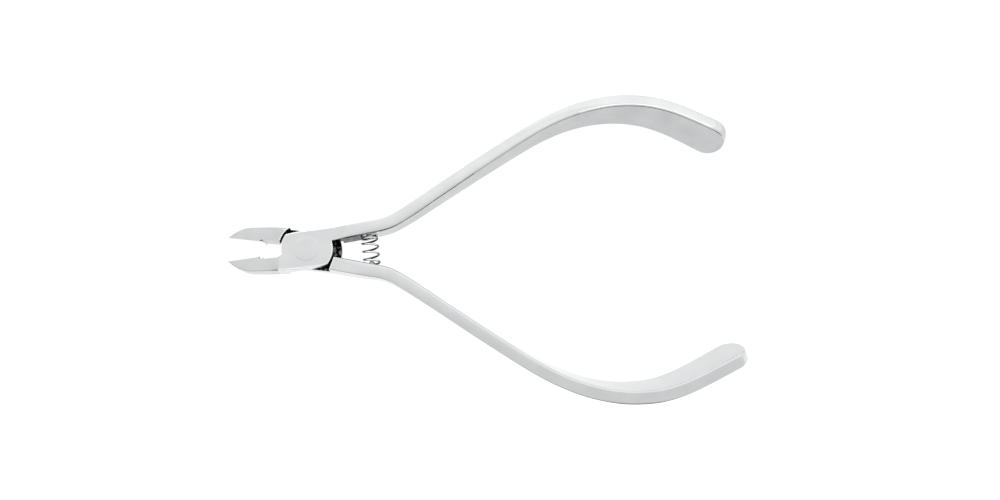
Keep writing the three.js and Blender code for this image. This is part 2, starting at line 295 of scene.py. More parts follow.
def smooth_line(points):
    """Points along the smooth curve through some points, both ends included."""
    count = CURVE_STEPS * (len(points) - 1)
    return [catmull_rom(points, step / count) for step in range(count + 1)]


def on_circle(radius, angle):
    """Point on a circle about the pivot, at an angle in degrees."""
    turn = math.radians(angle)
    return Vector((radius * math.cos(turn), radius * math.sin(turn)))


def arc(radius, start, end):
    """Points on an arc about the pivot, from one angle in degrees to another, both ends included."""
    count = max(2, math.ceil(abs(end - start) / ARC_STEP))
    return [on_circle(radius, start + (end - start) * step / count) for step in range(count + 1)]


class HandleLine:
    """The handle's centre line, with its section and twist, by the share of its length."""

    SAMPLES = 600

    def __init__(self, palm_end):
        self.stations = HANDLE_STATIONS + [palm_end]
        samples = [self.at_parameter(i / self.SAMPLES)[0] for i in range(self.SAMPLES + 1)]
        self.lengths = [0]
        for before, after in zip(samples, samples[1:]):
            self.lengths.append(self.lengths[-1] + (after - before).length)
        self.length = self.lengths[-1]

    def at_parameter(self, parameter):
        """Place on the curve through the stations, with its thickness, width and twist."""
        x, y = catmull_rom([station[:2] for station in self.stations], parameter)
        section = catmull_rom([station[2:] for station in self.stations], parameter)
        return Vector((x, y, 0)), section

    def at(self, share):
        """Centre, outward and width directions, half thickness and half width at a share of the length."""
        wanted = share * self.length
        after = next((i for i, length in enumerate(self.lengths) if length >= wanted), self.SAMPLES)
        after = max(after, 1)
        span = self.lengths[after] - self.lengths[after - 1]
        parameter = (after - 1 + (wanted - self.lengths[after - 1]) / span) / self.SAMPLES
        half_sample = 0.5 / self.SAMPLES
        centre, section = self.at_parameter(parameter)
        ahead, _ = self.at_parameter(min(parameter + half_sample, 1))
        behind, _ = self.at_parameter(max(parameter - half_sample, 0))
        tangent = (ahead - behind).normalized()
        outward = Vector((-tangent.y, tangent.x, 0))
        forward = Vector((0, 0, 1))
        thickness, width, twist = section
        turn = math.radians(twist)
        across = outward * math.cos(turn) - forward * math.sin(turn)
        along = forward * math.cos(turn) + outward * math.sin(turn)
        return centre, across, along, thickness / 2, width / 2


# ---- Outline of a half -----------------------------------------------------------------------------------


def stretch(points, start, end=None):
    """Points of one stretch of an outline, each with its edge rounding on the front and on the rear face."""
    end = end or start
    last = max(len(points) - 1, 1)
    rows = []
    for i, point in enumerate(points):
        share = i / last
        front = start[0] + (end[0] - start[0]) * share
        rear = start[1] + (end[1] - start[1]) * share
        rows.append((Vector(point[:2]), front, rear))
    return rows


def half_outline(neck_outside, neck_inside, jaw_edge, joint_edge):
    """Open outline from the neck's outside corner, round the plate and the jaw, to its inside corner."""
    corner = Vector(PLATE_TOP_EDGE[0])
    corner_angle = math.degrees(math.atan2(corner.y, corner.x))
    top_edge = smooth_line([neck_outside] + [Vector(point) for point in reversed(PLATE_TOP_EDGE)])
    jaw_side = smooth_line([Vector(point) for point in reversed(JAW_SIDE_EDGE)])
    rows = stretch(top_edge, OUTSIDE_EDGE, PLATE_CORNER_EDGE)
    rows += stretch(arc(PLATE_RADIUS, corner_angle, RELIEF_JOIN_ANGLE), PLATE_EDGE)[1:]
    rows += stretch([RELIEF_END, RELIEF_STEP, TOOTH_END], RELIEF_EDGE)
    rows += stretch([EDGE_HEEL, TIP], CUTTING_EDGE)
    rows += stretch(smooth_line(JAW_NOSE[::-1]), TIP_EDGE, jaw_edge)[1:]
    rows += stretch(jaw_side, jaw_edge, joint_edge)[1:]
    rows += stretch(arc(SLIM_HEEL_RADIUS, SLIM_HEEL_END_ANGLE, HANDLE_ROOT_ANGLE), PLATE_EDGE)
    rows += stretch([neck_inside], INSIDE_EDGE)
    return rows


def inward(points, i):
    """Mitred inward direction at a point of an open outline that runs anticlockwise seen from the front."""
    here = points[i]
    before = points[i - 1] if i > 0 else here - (points[i + 1] - here)
    after = points[i + 1] if i < len(points) - 1 else here + (here - before)
    arriving = (here - before).normalized()
    leaving = (after - here).normalized()
    left_arriving = Vector((-arriving.y, arriving.x))
    left_leaving = Vector((-leaving.y, leaving.x))
    return (left_arriving + left_leaving) / max(1 + left_arriving.dot(left_leaving), MITRE_LIMIT)


def quarter_round():
    """Inset and drop along a quarter-round edge of radius 1, from the face to the side."""
    turns = [math.pi / 2 * step / CORNER_STEPS for step in range(CORNER_STEPS + 1)]
    return [(1 - math.sin(turn), 1 - math.cos(turn)) for turn in turns]


def rounded_column(point, direction, front, rear):
    """Places of one outline point from the front face to the rear face, with both edges rounded."""
    column = []
    for inset, drop in quarter_round():
        place = point + direction * front * inset
        column.append(Vector((place.x, place.y, FACE - front * drop)))
    for inset, drop in reversed(quarter_round()):
        place = point + direction * rear * inset
        column.append(Vector((place.x, place.y, rear * drop - FACE)))
    return column


# ---- Mesh helpers ----------------------------------------------------------------------------------------


def new_object(name, bm):
    """Puts a finished bmesh into the scene as a new object."""
    mesh = bpy.data.meshes.new(name)
    bmesh.ops.recalc_face_normals(bm, faces=bm.faces)
    bm.to_mesh(mesh)
    bm.free()
    piece = bpy.data.objects.new(name, mesh)
    bpy.context.scene.collection.objects.link(piece)
    return piece


def prism(name, outline, bottom, top):
    """A closed outline made into a plate between two heights."""
    bm = bmesh.new()
    low = [bm.verts.new((point[0], point[1], bottom)) for point in outline]
    high = [bm.verts.new((point[0], point[1], top)) for point in outline]
    bm.faces.new(low)
    bm.faces.new(high)
    for i in range(len(outline)):
        j = (i + 1) % len(outline)
        bm.faces.new((low[i], low[j], high[j], high[i]))
    return new_object(name, bm)


def turned(name, profile, sides=TURNED_SIDES):
    """A profile of radius and height turned about the Z axis."""
    bm = bmesh.new()
    rings = []
    for radius, height in profile:
        if radius == 0:
            rings.append([bm.verts.new((0, 0, height))])
            continue
        angles = [2 * math.pi * side / sides for side in range(sides)]
        rings.append([bm.verts.new((radius * math.cos(a), radius * math.sin(a), height)) for a in angles])
    for lower, upper in zip(rings, rings[1:]):
        for i in range(sides):
            j = (i + 1) % sides
            corners = [lower[i % len(lower)], lower[j % len(lower)]]
            corners += [upper[j % len(upper)], upper[i % len(upper)]]
            bm.faces.new(list(dict.fromkeys(corners)))
    return new_object(name, bm)


def add_ring_faces(bm, ring, following):
    """Joins two rings of as many vertices with a band of four-sided faces."""
    for i in range(len(ring)):
        j = (i + 1) % len(ring)
        bm.faces.new((ring[i], ring[j], following[j], following[i]))


def apply_modifiers(piece):
    """Replaces a piece's mesh with its evaluated one and drops the modifiers."""
    evaluated = piece.evaluated_get(bpy.context.evaluated_depsgraph_get())
    mesh = bpy.data.meshes.new_from_object(evaluated)
    piece.modifiers.clear()
    piece.data = mesh


def carve(piece, cutters, operation="DIFFERENCE"):
    """Cuts the cutters away from a piece, or adds them to it, one after the other."""
    for cutter in cutters:
        step = piece.modifiers.new("carve", "BOOLEAN")
        step.operation = operation
        step.solver = "EXACT"
        step.object = cutter
        apply_modifiers(piece)
        bpy.data.objects.remove(cutter)


def into_frame():
    """From millimetres about the joint's middle plane to the frame's metres."""
    return Matrix.Translation((0, 0, MIDDLE)) @ Matrix.Scale(MM, 4)


# ---- Halves: the uncut shape -----------------------------------------------------------------------------


def bar_shares(line):
    """Shares of the handle's length at its rings: even along the bar and crowded round its end."""
    round_start = 1 - END_ROUND_LENGTH / line.length
    bar = round_start - NECK_SHARE
    straight = [NECK_SHARE + bar * i / BAR_STEPS for i in range(1, BAR_STEPS + 1)]
    turns = [math.pi / 2 * i / BAR_END_STEPS for i in range(1, BAR_END_STEPS + 1)]
    return straight + [round_start + (1 - round_start) * math.sin(turn) for turn in turns]


def crown_height(share):
    """How proud the middle of the handle's broad faces is: it grows from nothing at the neck, then fades."""
    growth = min((share - NECK_SHARE) / CROWN_GROWTH, 1)
    return CROWN * growth**2 * (3 - 2 * growth) * (1 - CROWN_LOSS * share)


def bar_ring(line, share):
    """The handle's section: from the outside front corner, by the rear face, round to the front face."""
    centre, across, along, half_thickness, half_width = line.at(share)
    round_start = 1 - END_ROUND_LENGTH / line.length
    into_end = max(0, (share - round_start) / (1 - round_start)) * END_ROUND_FULLNESS
    half_thickness *= 1 - END_THINNING * into_end**2
    half_width *= math.sqrt(1 - into_end**2)
    crown = crown_height(share)

    def place(out, up):
        """A point of the section, with the front and rear faces crowned."""
        crowned = half_width - crown * (out / half_thickness) ** 2
        return centre + across * out + along * math.copysign(crowned - (half_width - abs(up)), up)

    ring = []
    for side, face in ((1, 1), (1, -1), (-1, -1), (-1, 1)):
        radius = min(OUTSIDE_ROUND if side > 0 else INSIDE_ROUND, half_width * LARGEST_ROUND_SHARE)
        corner = quarter_round() if side == face else reversed(quarter_round())
        for inset, drop in corner:
            ring.append(place(side * (half_thickness - radius * inset), face * (half_width - radius * drop)))
        if side != face:
            start = side * (half_thickness - radius)
            end = -side * (half_thickness - (INSIDE_ROUND if side > 0 else OUTSIDE_ROUND))
            for i in range(1, CROWN_STEPS):
                ring.append(place(start + (end - start) * i / CROWN_STEPS, face * half_width))
    return ring


def strip_between(bm, start, end):
    """Evenly spaced vertices on the straight line between two others, which are left out."""
    return [bm.verts.new(start.co.lerp(end.co, i / CROWN_STEPS)) for i in range(1, CROWN_STEPS)]


def uncut_half(name, palm_end, jaw_edge, joint_edge):
    """A half of full thickness, before the joint and the jaw are cut: plate and jaw, and the handle bar."""
    line = HandleLine(palm_end)
    centre, across, _, half_thickness, _ = line.at(NECK_SHARE)
    neck_outside = (centre + across * half_thickness).to_2d()
    neck_inside = (centre - across * half_thickness).to_2d()
    rows = half_outline(neck_outside, neck_inside, jaw_edge, joint_edge)
    points = [point for point, _, _ in rows]
    bm = bmesh.new()
    columns = []
    for i, (point, front, rear) in enumerate(rows):
        column = rounded_column(point, inward(points, i), front, rear)
        columns.append([bm.verts.new(place) for place in column])
    for left, right in zip(columns, columns[1:]):
        for i in range(len(left) - 1):
            bm.faces.new((left[i], left[i + 1], right[i + 1], right[i]))
    rear_strip = strip_between(bm, columns[0][-1], columns[-1][-1])
    front_strip = strip_between(bm, columns[-1][0], columns[0][0])
    bm.faces.new([column[0] for column in columns] + front_strip)
    bm.faces.new([column[-1] for column in columns] + rear_strip[::-1])
    ring = columns[0] + rear_strip + columns[-1][::-1] + front_strip
    for share in bar_shares(line):
        following = [bm.verts.new(place) for place in bar_ring(line, share)]
        add_ring_faces(bm, ring, following)
        ring = following
    bm.faces.new(ring)
    bmesh.ops.remove_doubles(bm, verts=bm.verts, dist=WELD)
    return new_object(name, bm)


# ---- Halves: what is cut and added -----------------------------------------------------------------------


def pocket_cutter(other_heel_radius, low, high):
    """The room for the other half's plate: round, with a shoulder straight out from the tangent angle."""
    handle_side = arc(other_heel_radius + SHOULDER_GAP, -90, SHOULDER_TANGENT_ANGLE)
    tangent = math.radians(SHOULDER_TANGENT_ANGLE)
    shoulder_end = handle_side[-1] + CUTTER_REACH * Vector((-math.sin(tangent), math.cos(tangent)))
    jaw_side = arc(PLATE_RADIUS + SHOULDER_GAP, 90, 270)
    outline = jaw_side + handle_side + [shoulder_end, Vector((0, shoulder_end.y))]
    return prism("pocket", outline, low, high)


def wide_heel_lobe(low, high):
    """The larger heel of the rear half's plate, which runs out past its handle's root."""
    outside = arc(WIDE_HEEL_RADIUS, WIDE_HEEL_END_ANGLE, HANDLE_ROOT_ANGLE)
    inside = arc(WIDE_HEEL_RADIUS / 2, WIDE_HEEL_END_ANGLE, HANDLE_ROOT_ANGLE)
    return prism("lobe", outside + inside[::-1], low, high)


def taper_cutter(facing, taper_at_tip, start):
    """A wedge over the plane that thins the jaw towards its tip, on the front (1) or the rear (-1)."""
    slope = taper_at_tip / (start - TIP.x)
    end = TIP.x - CUTTER_REACH
    outline = [
        (start, facing * FACE),
        (start, facing * (FACE + CUTTER_REACH)),
        (end, facing * (FACE + CUTTER_REACH)),
        (end, facing * (FACE - slope * (start - end))),
    ]
    cutter = prism("taper", outline, -CUTTER_REACH, CUTTER_REACH)
    cutter.data.transform(Matrix.Rotation(math.pi / 2, 4, "X"))
    return cutter


def on_front_slope(point):
    """A point of the outline lifted onto the jaw's sloping front face."""
    slope = FRONT_TAPER_AT_TIP / (JAW_TAPER_START - TIP.x)
    return Vector((point.x, point.y, FACE - slope * (JAW_TAPER_START - point.x)))


def edge_bevel_cutter():
    """Grinds the inside of the jaw back from its cutting edge, which stays on the sloping front face."""
    heel = on_front_slope(EDGE_HEEL)
    along = (on_front_slope(TIP) - heel).normalized()
    into = Vector((-along.y, along.x, 0)).normalized()
    up = along.cross(into)
    lean = math.tan(math.radians(EDGE_BEVEL_ANGLE)) * CUTTER_REACH
    outline = [(0, 0), (-CUTTER_REACH, 0), (-CUTTER_REACH, -CUTTER_REACH), (lean, -CUTTER_REACH)]
    cutter = prism("edge_bevel", outline, 0, CUTTER_REACH)
    basis = Matrix((into, up, along)).transposed().to_4x4()
    cutter.data.transform(Matrix.Translation(heel) @ basis)
    return cutter


def notch_cutter():
    """The small round notch at the heel of the cutting edge."""
    lower = [(0, -CUTTER_REACH), (NOTCH_RADIUS, -CUTTER_REACH)]
    upper = [(NOTCH_RADIUS, CUTTER_REACH), (0, CUTTER_REACH)]
    cutter = turned("notch", lower + upper, NOTCH_SIDES)
    cutter.data.transform(Matrix.Translation(NOTCH_CENTRE.to_3d()))
    return cutter


def rivet_hole_cutter():
    """The hole for the rivet, countersunk at both ends and a hair larger than the rivet."""
    head = RIVET_HEAD_RADIUS + RIVET_FIT
    shank = RIVET_SHANK_RADIUS + RIVET_FIT
    below = FACE + HOLE_OVERSHOOT
    lower = [(0, -below), (head, -below), (head, -FACE), (shank, RIVET_HEAD_DEPTH - FACE)]
    return turned("rivet_hole", lower + [(radius, -height) for radius, height in reversed(lower)])


# ---- Halves: surfaces and edges --------------------------------------------------------------------------

# Surfaces of a half, in the order of its materials. The joint surface is painted shade, and narrow edge
# strips get a painted highlight.
# The faint end of the front handle's fold line, also painted shade, takes the burr line's surface.
POLISHED, SHADED_JOINT, GROUND, HIGHLIT_EDGE, BURR_AND_SHADE_LINE = range(5)


def shoulder_direction():
    """The way that the straight part of the shoulder faces."""
    return on_circle(1, SHOULDER_TANGENT_ANGLE)


def on_shoulder(place, other_heel_radius):
    """Whether a place is on the wall of the pocket, from its jaw side round to its shoulder."""
    flat = place.to_2d()
    shoulder = other_heel_radius + SHOULDER_GAP
    if flat.x < 0:
        return abs(flat.length - PLATE_RADIUS - SHOULDER_GAP) < NEAR
    on_line = abs(flat.dot(shoulder_direction()) - shoulder) < NEAR
    on_handle_arc = abs(flat.length - shoulder) < NEAR
    return on_line or on_handle_arc


def faces_pivot(normal, place):
    """Whether a face looks straight at the pivot's axis or straight away from it."""
    radial = Vector((place.x, place.y, 0)).normalized()
    return max(abs(normal.dot(radial)), abs(normal.dot(shoulder_direction().to_3d()))) > PIVOT_NORMAL


def mark_burr_line(bm):
    """Marks a strip of the jaw's ground front face along its outer side, in a layer that is returned."""
    burr = bm.faces.layers.int.new("burr")
    bm.normal_update()
    level = [face for face in bm.faces if face.normal.z > LEVEL_NORMAL]
    fronts = [face for face in level if face.calc_center_median().x < JAW_TAPER_START]
    ground = max(fronts, key=lambda face: face.calc_area())
    side = TIP.y - BURR_START
    outside = set()
    for edge in ground.edges:
        start, end = (vert.co for vert in edge.verts)
        if max(start.y, end.y) < side and abs(end.x - start.x) > abs(end.y - start.y):
            outside.add(edge)
    rim = bmesh.ops.inset_region(bm, faces=[ground], thickness=BURR_WIDTH, use_even_offset=True)
    for face in rim["faces"]:
        face[burr] = int(any(edge in outside for edge in face.edges))
    return burr


def is_shaded_joint_surface(centre, normal, other_heel_radius):
    """Whether a face gets the painted shade: the lap, the pocket's wall, the notch, or the handle's neck
    inside.
    """
    in_lap = abs(centre.z) < LAP_GAP and abs(normal.z) > FLAT_NORMAL
    on_wall = on_shoulder(centre, other_heel_radius) and faces_pivot(normal, centre)
    in_notch = (centre.to_2d() - NOTCH_CENTRE).length < NOTCH_RADIUS + NEAR
    in_neck = NECK_X < centre.x < SPRING_TOP.x - COIL_RADIUS and normal.y < -FLAT_NORMAL
    return in_lap or on_wall or in_notch or in_neck


def is_highlit_edge_strip(face, centre, is_rear):
    """Whether a face is a narrow strip along an edge that gets a painted highlight."""
    normal = face.normal
    width = face.calc_area() / (face.calc_perimeter() / 2)
    beside_joint = centre.x > NECK_X and abs(normal.x) < abs(normal.y)
    along_handle = beside_joint or centre.x > FOLD_START
    # Along the handle, the rear half's edges and the front half's inside edges face away from the light and
    # get no painted highlight.
    stays_unhighlit = along_handle and (is_rear or normal.y < 0)
    return width < EDGE_HIGHLIGHT_WIDTH and centre.x < EDGE_HIGHLIGHT_END and not stays_unhighlit


def surface_of(face, is_rear, other_heel_radius, burr):
    """Which of a half's surfaces a face belongs to; burr is the layer that marks the jaw's burr line."""
    centre = face.calc_center_median()
    normal = face.normal
    if is_shaded_joint_surface(centre, normal, other_heel_radius):
        return SHADED_JOINT
    # The front handle's fold line, between its front face and inner face, is a painted dark reflection:
    # painted shade, fading out further along.
    if not is_rear and centre.x > FOLD_START and normal.y < 0:
        fold_low, fold_high = FOLD_NORMALS
        if fold_low < normal.z < fold_high and centre.x < FOLD_END:
            return SHADED_JOINT if centre.x < FOLD_FADE else BURR_AND_SHADE_LINE
        if normal.y < -INNER_NORMAL and normal.z < fold_low:
            return GROUND
    if centre.x < JAW_TAPER_START:
        return BURR_AND_SHADE_LINE if burr and face[burr] else GROUND
    return HIGHLIT_EDGE if is_highlit_edge_strip(face, centre, is_rear) else POLISHED


def break_shoulder(bm, other_heel_radius):
    """Bevels the edges where the pocket's wall meets the front or the rear face."""
    edges = []
    for edge in bm.edges:
        if len(edge.link_faces) != 2 or edge.calc_face_angle() < math.radians(SHARP_ANGLE):
            continue
        ends = [vert.co for vert in edge.verts]
        if all(abs(end.z) > FACE * OUTER_SHARE and on_shoulder(end, other_heel_radius) for end in ends):
            edges.append(edge)
    bmesh.ops.bevel(
        bm,
        geom=edges,
        offset=SHOULDER_BREAK,
        segments=SHOULDER_BREAK_STEPS,
        profile=0.5,
        affect="EDGES",
        clamp_overlap=False,
    )


def set_sharp_edges(bm):
    """Keeps real corners sharp, and the low creases between the jaw's ground faces too."""
    for edge in bm.edges:
        if len(edge.link_faces) != 2:
            continue
        angle = edge.calc_face_angle()
        in_jaw = all(vert.co.x < JAW_TAPER_START + CREASE_OVERLAP for vert in edge.verts)
        is_ground = in_jaw and min(face.calc_area() for face in edge.link_faces) > GROUND_FACE_AREA
        is_crease = is_ground and angle > math.radians(GROUND_CREASE_ANGLE)
        edge.smooth = angle < math.radians(SMOOTH_ANGLE) and not is_crease


def finish_half(piece, is_rear, other_heel_radius):
    """Breaks and marks the edges and surfaces of a cut half, and brings it into the frame."""
    bm = bmesh.new()
    bm.from_mesh(piece.data)
    bmesh.ops.remove_doubles(bm, verts=bm.verts, dist=WELD_AFTER_CUTS)
    flat = [edge for edge in bm.edges if all(vert.co.x < PLATE_X for vert in edge.verts)]
    bmesh.ops.dissolve_limit(bm, angle_limit=math.radians(FLAT_ANGLE), edges=flat, verts=[])
    break_shoulder(bm, other_heel_radius)
    burr = None if is_rear else mark_burr_line(bm)
    bm.normal_update()
    for face in bm.faces:
        face.smooth = True
        face.material_index = surface_of(face, is_rear, other_heel_radius, burr)
    set_sharp_edges(bm)
    place = into_frame()
    if is_rear:
        place = place @ Matrix.Scale(-1, 4, (0, 1, 0))
        bmesh.ops.reverse_faces(bm, faces=bm.faces)
    bm.transform(place)
    bm.to_mesh(piece.data)
    bm.free()
    weighted = piece.modifiers.new("weighted", "WEIGHTED_NORMAL")
    weighted.keep_sharp = True
    weighted.weight = SMOOTHING_WEIGHT
    apply_modifiers(piece)


def build_half(name, is_rear, palm_end, jaw_edge, joint_edge):
    """One half: its pocket faces the other half and is wide enough for the other one's heel."""
    facing = 1 if is_rear else -1
    other_heel_radius = SLIM_HEEL_RADIUS if is_rear else WIDE_HEEL_RADIUS
    lap = -facing * LAP_GAP / 2
    reach = facing * CUTTER_REACH
    far = -facing * FACE
    piece = uncut_half(name, palm_end, jaw_edge, joint_edge)
    if is_rear:
        carve(piece, [wide_heel_lobe(min(lap, far), max(lap, far))], "UNION")
    cutters = [
        pocket_cutter(other_heel_radius, min(lap, reach), max(lap, reach)),
        taper_cutter(1, FRONT_TAPER_AT_TIP, POCKET_TAPER_START if is_rear else JAW_TAPER_START),
        taper_cutter(-1, REAR_TAPER_AT_TIP, JAW_TAPER_START),
        edge_bevel_cutter(),
        notch_cutter(),
        rivet_hole_cutter(),
    ]
    carve(piece, cutters)
    finish_half(piece, is_rear, other_heel_radius)
    return piece


# ---- Rivet, pegs and spring ------------------------------------------------------------------------------


def finish_round_piece(piece):
    """Brings a rivet, peg or spring into the frame and smooths it between its sharp edges."""
    piece.data.transform(into_frame())
    piece.data.polygons.foreach_set("use_smooth", [True] * len(piece.data.polygons))
    piece.data.set_sharp_from_angle(angle=math.radians(SHARP_ANGLE))
    return piece


def build_rivet():
    """Flush rivet: countersunk heads with a broken rim and a barely crowned face."""
    upper = [
        (RIVET_SHANK_RADIUS, 0),
        (RIVET_SHANK_RADIUS, FACE - RIVET_HEAD_DEPTH),
        (RIVET_HEAD_RADIUS, FACE - RIVET_RIM),
        (RIVET_HEAD_RADIUS - RIVET_RIM, FACE - RIVET_CROWN),
    ]
    upper += [(RIVET_HEAD_RADIUS * share, FACE) for share in RIVET_FACE_RINGS]
    upper.append((0, FACE))
    lower = [(radius, -height) for radius, height in reversed(upper[1:])]
    return finish_round_piece(turned("flush_rivet", lower + upper))


def build_peg(name, node, points_down):
    """A spring peg in the place of its CAD node: a pin with a domed free end."""
    low, high = box_mm(node)
    radius = (high.x - low.x) / 2
    length = high.y - low.y
    dome = radius * PEG_DOME_SHARE
    profile = [(0, 0), (radius, 0), (radius, length - dome)]
    for step in range(1, PEG_DOME_STEPS):
        turn = math.pi / 2 * step / PEG_DOME_STEPS
        profile.append((radius * math.cos(turn), length - dome + dome * math.sin(turn)))
    profile.append((0, length))
    peg = turned(name, profile, PEG_SIDES)
    middle = (low + high) / 2
    base = Vector((middle.x, high.y if points_down else low.y, middle.z))
    turn = math.pi / 2 if points_down else -math.pi / 2
    peg.data.transform(Matrix.Translation(base) @ Matrix.Rotation(turn, 4, "X"))
    return finish_round_piece(peg)


def spring_centre(turn):
    """A point of the left-handed coil, counted in turns from its top end."""
    opened = min(max(turn - CLOSED_TURNS_ABOVE, 0), OPEN_TURNS)
    drop = CLOSED_PITCH * (turn - opened) + OPEN_PITCH * opened
    lean = (SPRING_BOTTOM_X - SPRING_TOP.x) / SPRING_HEIGHT
    near_top = max(0, 1 - turn / CLOSED_TURNS_ABOVE)
    near_bottom = max(0, 1 - (SPRING_TURNS - turn) / CLOSED_TURNS_BELOW)
    slope = lean * (1 - near_top - near_bottom) + INSIDE_FACE_SLOPE * (near_top - near_bottom)
    angle = 2 * math.pi * turn
    sideways = COIL_RADIUS * math.cos(angle)
    x = SPRING_TOP.x + lean * drop + sideways
    y = SPRING_TOP.y - drop + slope * sideways
    return Vector((x, y, -COIL_RADIUS * math.sin(angle)))


def build_spring():
    """The coil as one tube of round wire, with both ends cut square and slightly broken."""
    bm = bmesh.new()
    steps = round(SPRING_TURNS * COIL_STEPS)
    angles = [2 * math.pi * i / WIRE_SIDES for i in range(WIRE_SIDES)]
    rings = []
    for step in range(steps + 1):
        turn = SPRING_TURNS * step / steps
        centre = spring_centre(turn)
        tangent = (spring_centre(turn + TURN_NUDGE) - spring_centre(turn - TURN_NUDGE)).normalized()
        side = tangent.cross(Vector((0, 1, 0))).normalized()
        up = side.cross(tangent)
        radius = WIRE_RADIUS * (WIRE_END_SHARE if step in (0, steps) else 1)
        section = [centre + radius * (side * math.cos(a) + up * math.sin(a)) for a in angles]
        rings.append([bm.verts.new(place) for place in section])
    for ring, following in zip(rings, rings[1:]):
        add_ring_faces(bm, ring, following)
    bm.faces.new(rings[0])
    bm.faces.new(rings[-1])
    return finish_round_piece(new_object("return_spring", bm))


# ---- Materials -------------------------------------------------------------------------------------------

# How the grain is stretched on each axis.
EVEN = (1, 1, 1)
ALONG_BAR = (0.12, 1, 1)
ALONG_JAW = (0.1, 1, 1)

# Grain and patches, in features per metre.
GRAIN_SCALE = 1400
GRAIN_DETAIL = 4
PATCH_SCALE = 180
PATCH_RANGE = (0.3, 0.7)
# Patches in the painted shade of the joint.
JOINT_SHADE_PATCH_SCALE = 1100
JOINT_SHADE_PATCH_RANGE = (0.52, 0.68)

BRIGHT_STEEL = (0.58, 0.62)
GROUND_STEEL = (0.5, 0.57)
# Painted shade: near-black steel where the joint's gaps, wall, notch, neck and fold line lie in shade.
JOINT_SHADE_DARK = 0.002
JOINT_SHADE_LIGHT = (0.2, 0.2, 0.195)
# Painted highlight on narrow edge strips.
EDGE_HIGHLIGHT_STEEL = (0.9, 0.97)
# Grey for the jaw's burr line, and painted shade on the faint end of the front handle's fold line.
BURR_AND_SHADE_STEEL = (0.3, 0.4)

# Painted light on the spring wire: shade on the flanks and towards the back of the coil, a highlight on the
# crests.
WIRE_LIGHT_AND_SHADE_GREYS = (0.03, 0.85)
WIRE_HIGHLIGHT_NORMALS = (0.35, 0.75)
WIRE_BACK_SHADE = 0.05
WIRE_SHADE_DEPTHS = (MIDDLE - 1.2 * MM, MIDDLE + 0.2 * MM)
WIRE_ROUGHNESS = (0.12, 0.25)
DRAW_MARK_SCALE = 2500
DRAW_MARK_DEPTH = 1e-6


def grey(level):
    """A plain grey."""
    return (level, level, level)


def cool(level):
    """A grey with the faint blue of bright steel."""
    blueness = 0.005
    return (level, level + blueness, level + 2 * blueness)


class Nodes:
    """Short names for the nodes of one material."""

    def __init__(self, name):
        self.material = bpy.data.materials.new(name)
        self.material.use_nodes = True
        self.tree = self.material.node_tree
        self.shader = self.tree.nodes["Principled BSDF"]
        self.object_place = self.tree.nodes.new("ShaderNodeTexCoord").outputs["Object"]

    def link(self, source, target):
        """Joins an output to an input."""
        self.tree.links.new(source, target)

    def noise(self, scale, detail=3.0, stretch=EVEN):
        """Noise over the surface; scale is in features per metre, before the stretch on each axis."""
        mapping = self.tree.nodes.new("ShaderNodeMapping")
        mapping.inputs["Scale"].default_value = stretch
        self.link(self.object_place, mapping.inputs["Vector"])
        texture = self.tree.nodes.new("ShaderNodeTexNoise")
        texture.inputs["Scale"].default_value = scale
        texture.inputs["Detail"].default_value = detail
        self.link(mapping.outputs["Vector"], texture.inputs["Vector"])
        return texture.outputs["Fac"]

    def part(self, vector, axis):
        """One axis of a vector."""
        split = self.tree.nodes.new("ShaderNodeSeparateXYZ")
        self.link(vector, split.inputs["Vector"])
        return split.outputs[axis]

    def ramp(self, value, low, high, start=PATCH_RANGE[0], end=PATCH_RANGE[1]):
        """Low where the value is at start, high where it is at end, and even between them."""
        node = self.tree.nodes.new("ShaderNodeMapRange")
        node.inputs["From Min"].default_value = start
        node.inputs["From Max"].default_value = end
        node.inputs["To Min"].default_value = low
        node.inputs["To Max"].default_value = high
        self.link(value, node.inputs["Value"])
        return node.outputs["Result"]

    def product(self, first, second):
        """Two values multiplied."""
        node = self.tree.nodes.new("ShaderNodeMath")
        node.operation = "MULTIPLY"
        self.link(first, node.inputs[0])
        self.link(second, node.inputs[1])
        return node.outputs["Value"]

    def bump(self, height, distance):
        """A normal that follows fine relief, whose depth is in metres."""
        node = self.tree.nodes.new("ShaderNodeBump")
        node.inputs["Distance"].default_value = distance
        self.link(height, node.inputs["Height"])
        return node.outputs["Normal"]

    def tint(self, value, dark, light):
        """A colour between two, by a value from 0 to 1."""
        node = self.tree.nodes.new("ShaderNodeMix")
        node.data_type = "RGBA"
        node.inputs["A"].default_value = (*dark, 1)
        node.inputs["B"].default_value = (*light, 1)
        self.link(value, node.inputs["Factor"])
        return node.outputs["Result"]


def steel(
    name,
    dark,
    light,
    roughness,
    grain,
    grain_depth,
    patch_scale=PATCH_SCALE,
    patch_range=PATCH_RANGE,
):
    """Ground or polished steel: fine grain stretched along the work, tinted patches, and uneven polish."""
    nodes = Nodes(name)
    inputs = nodes.shader.inputs
    inputs["Metallic"].default_value = 1
    patches = nodes.ramp(nodes.noise(patch_scale), 0, 1, *patch_range)
    nodes.link(nodes.tint(patches, dark, light), inputs["Base Color"])
    lines = nodes.noise(GRAIN_SCALE, GRAIN_DETAIL, grain)
    nodes.link(nodes.ramp(lines, *roughness), inputs["Roughness"])
    nodes.link(nodes.bump(lines, grain_depth), inputs["Normal"])
    return nodes.material


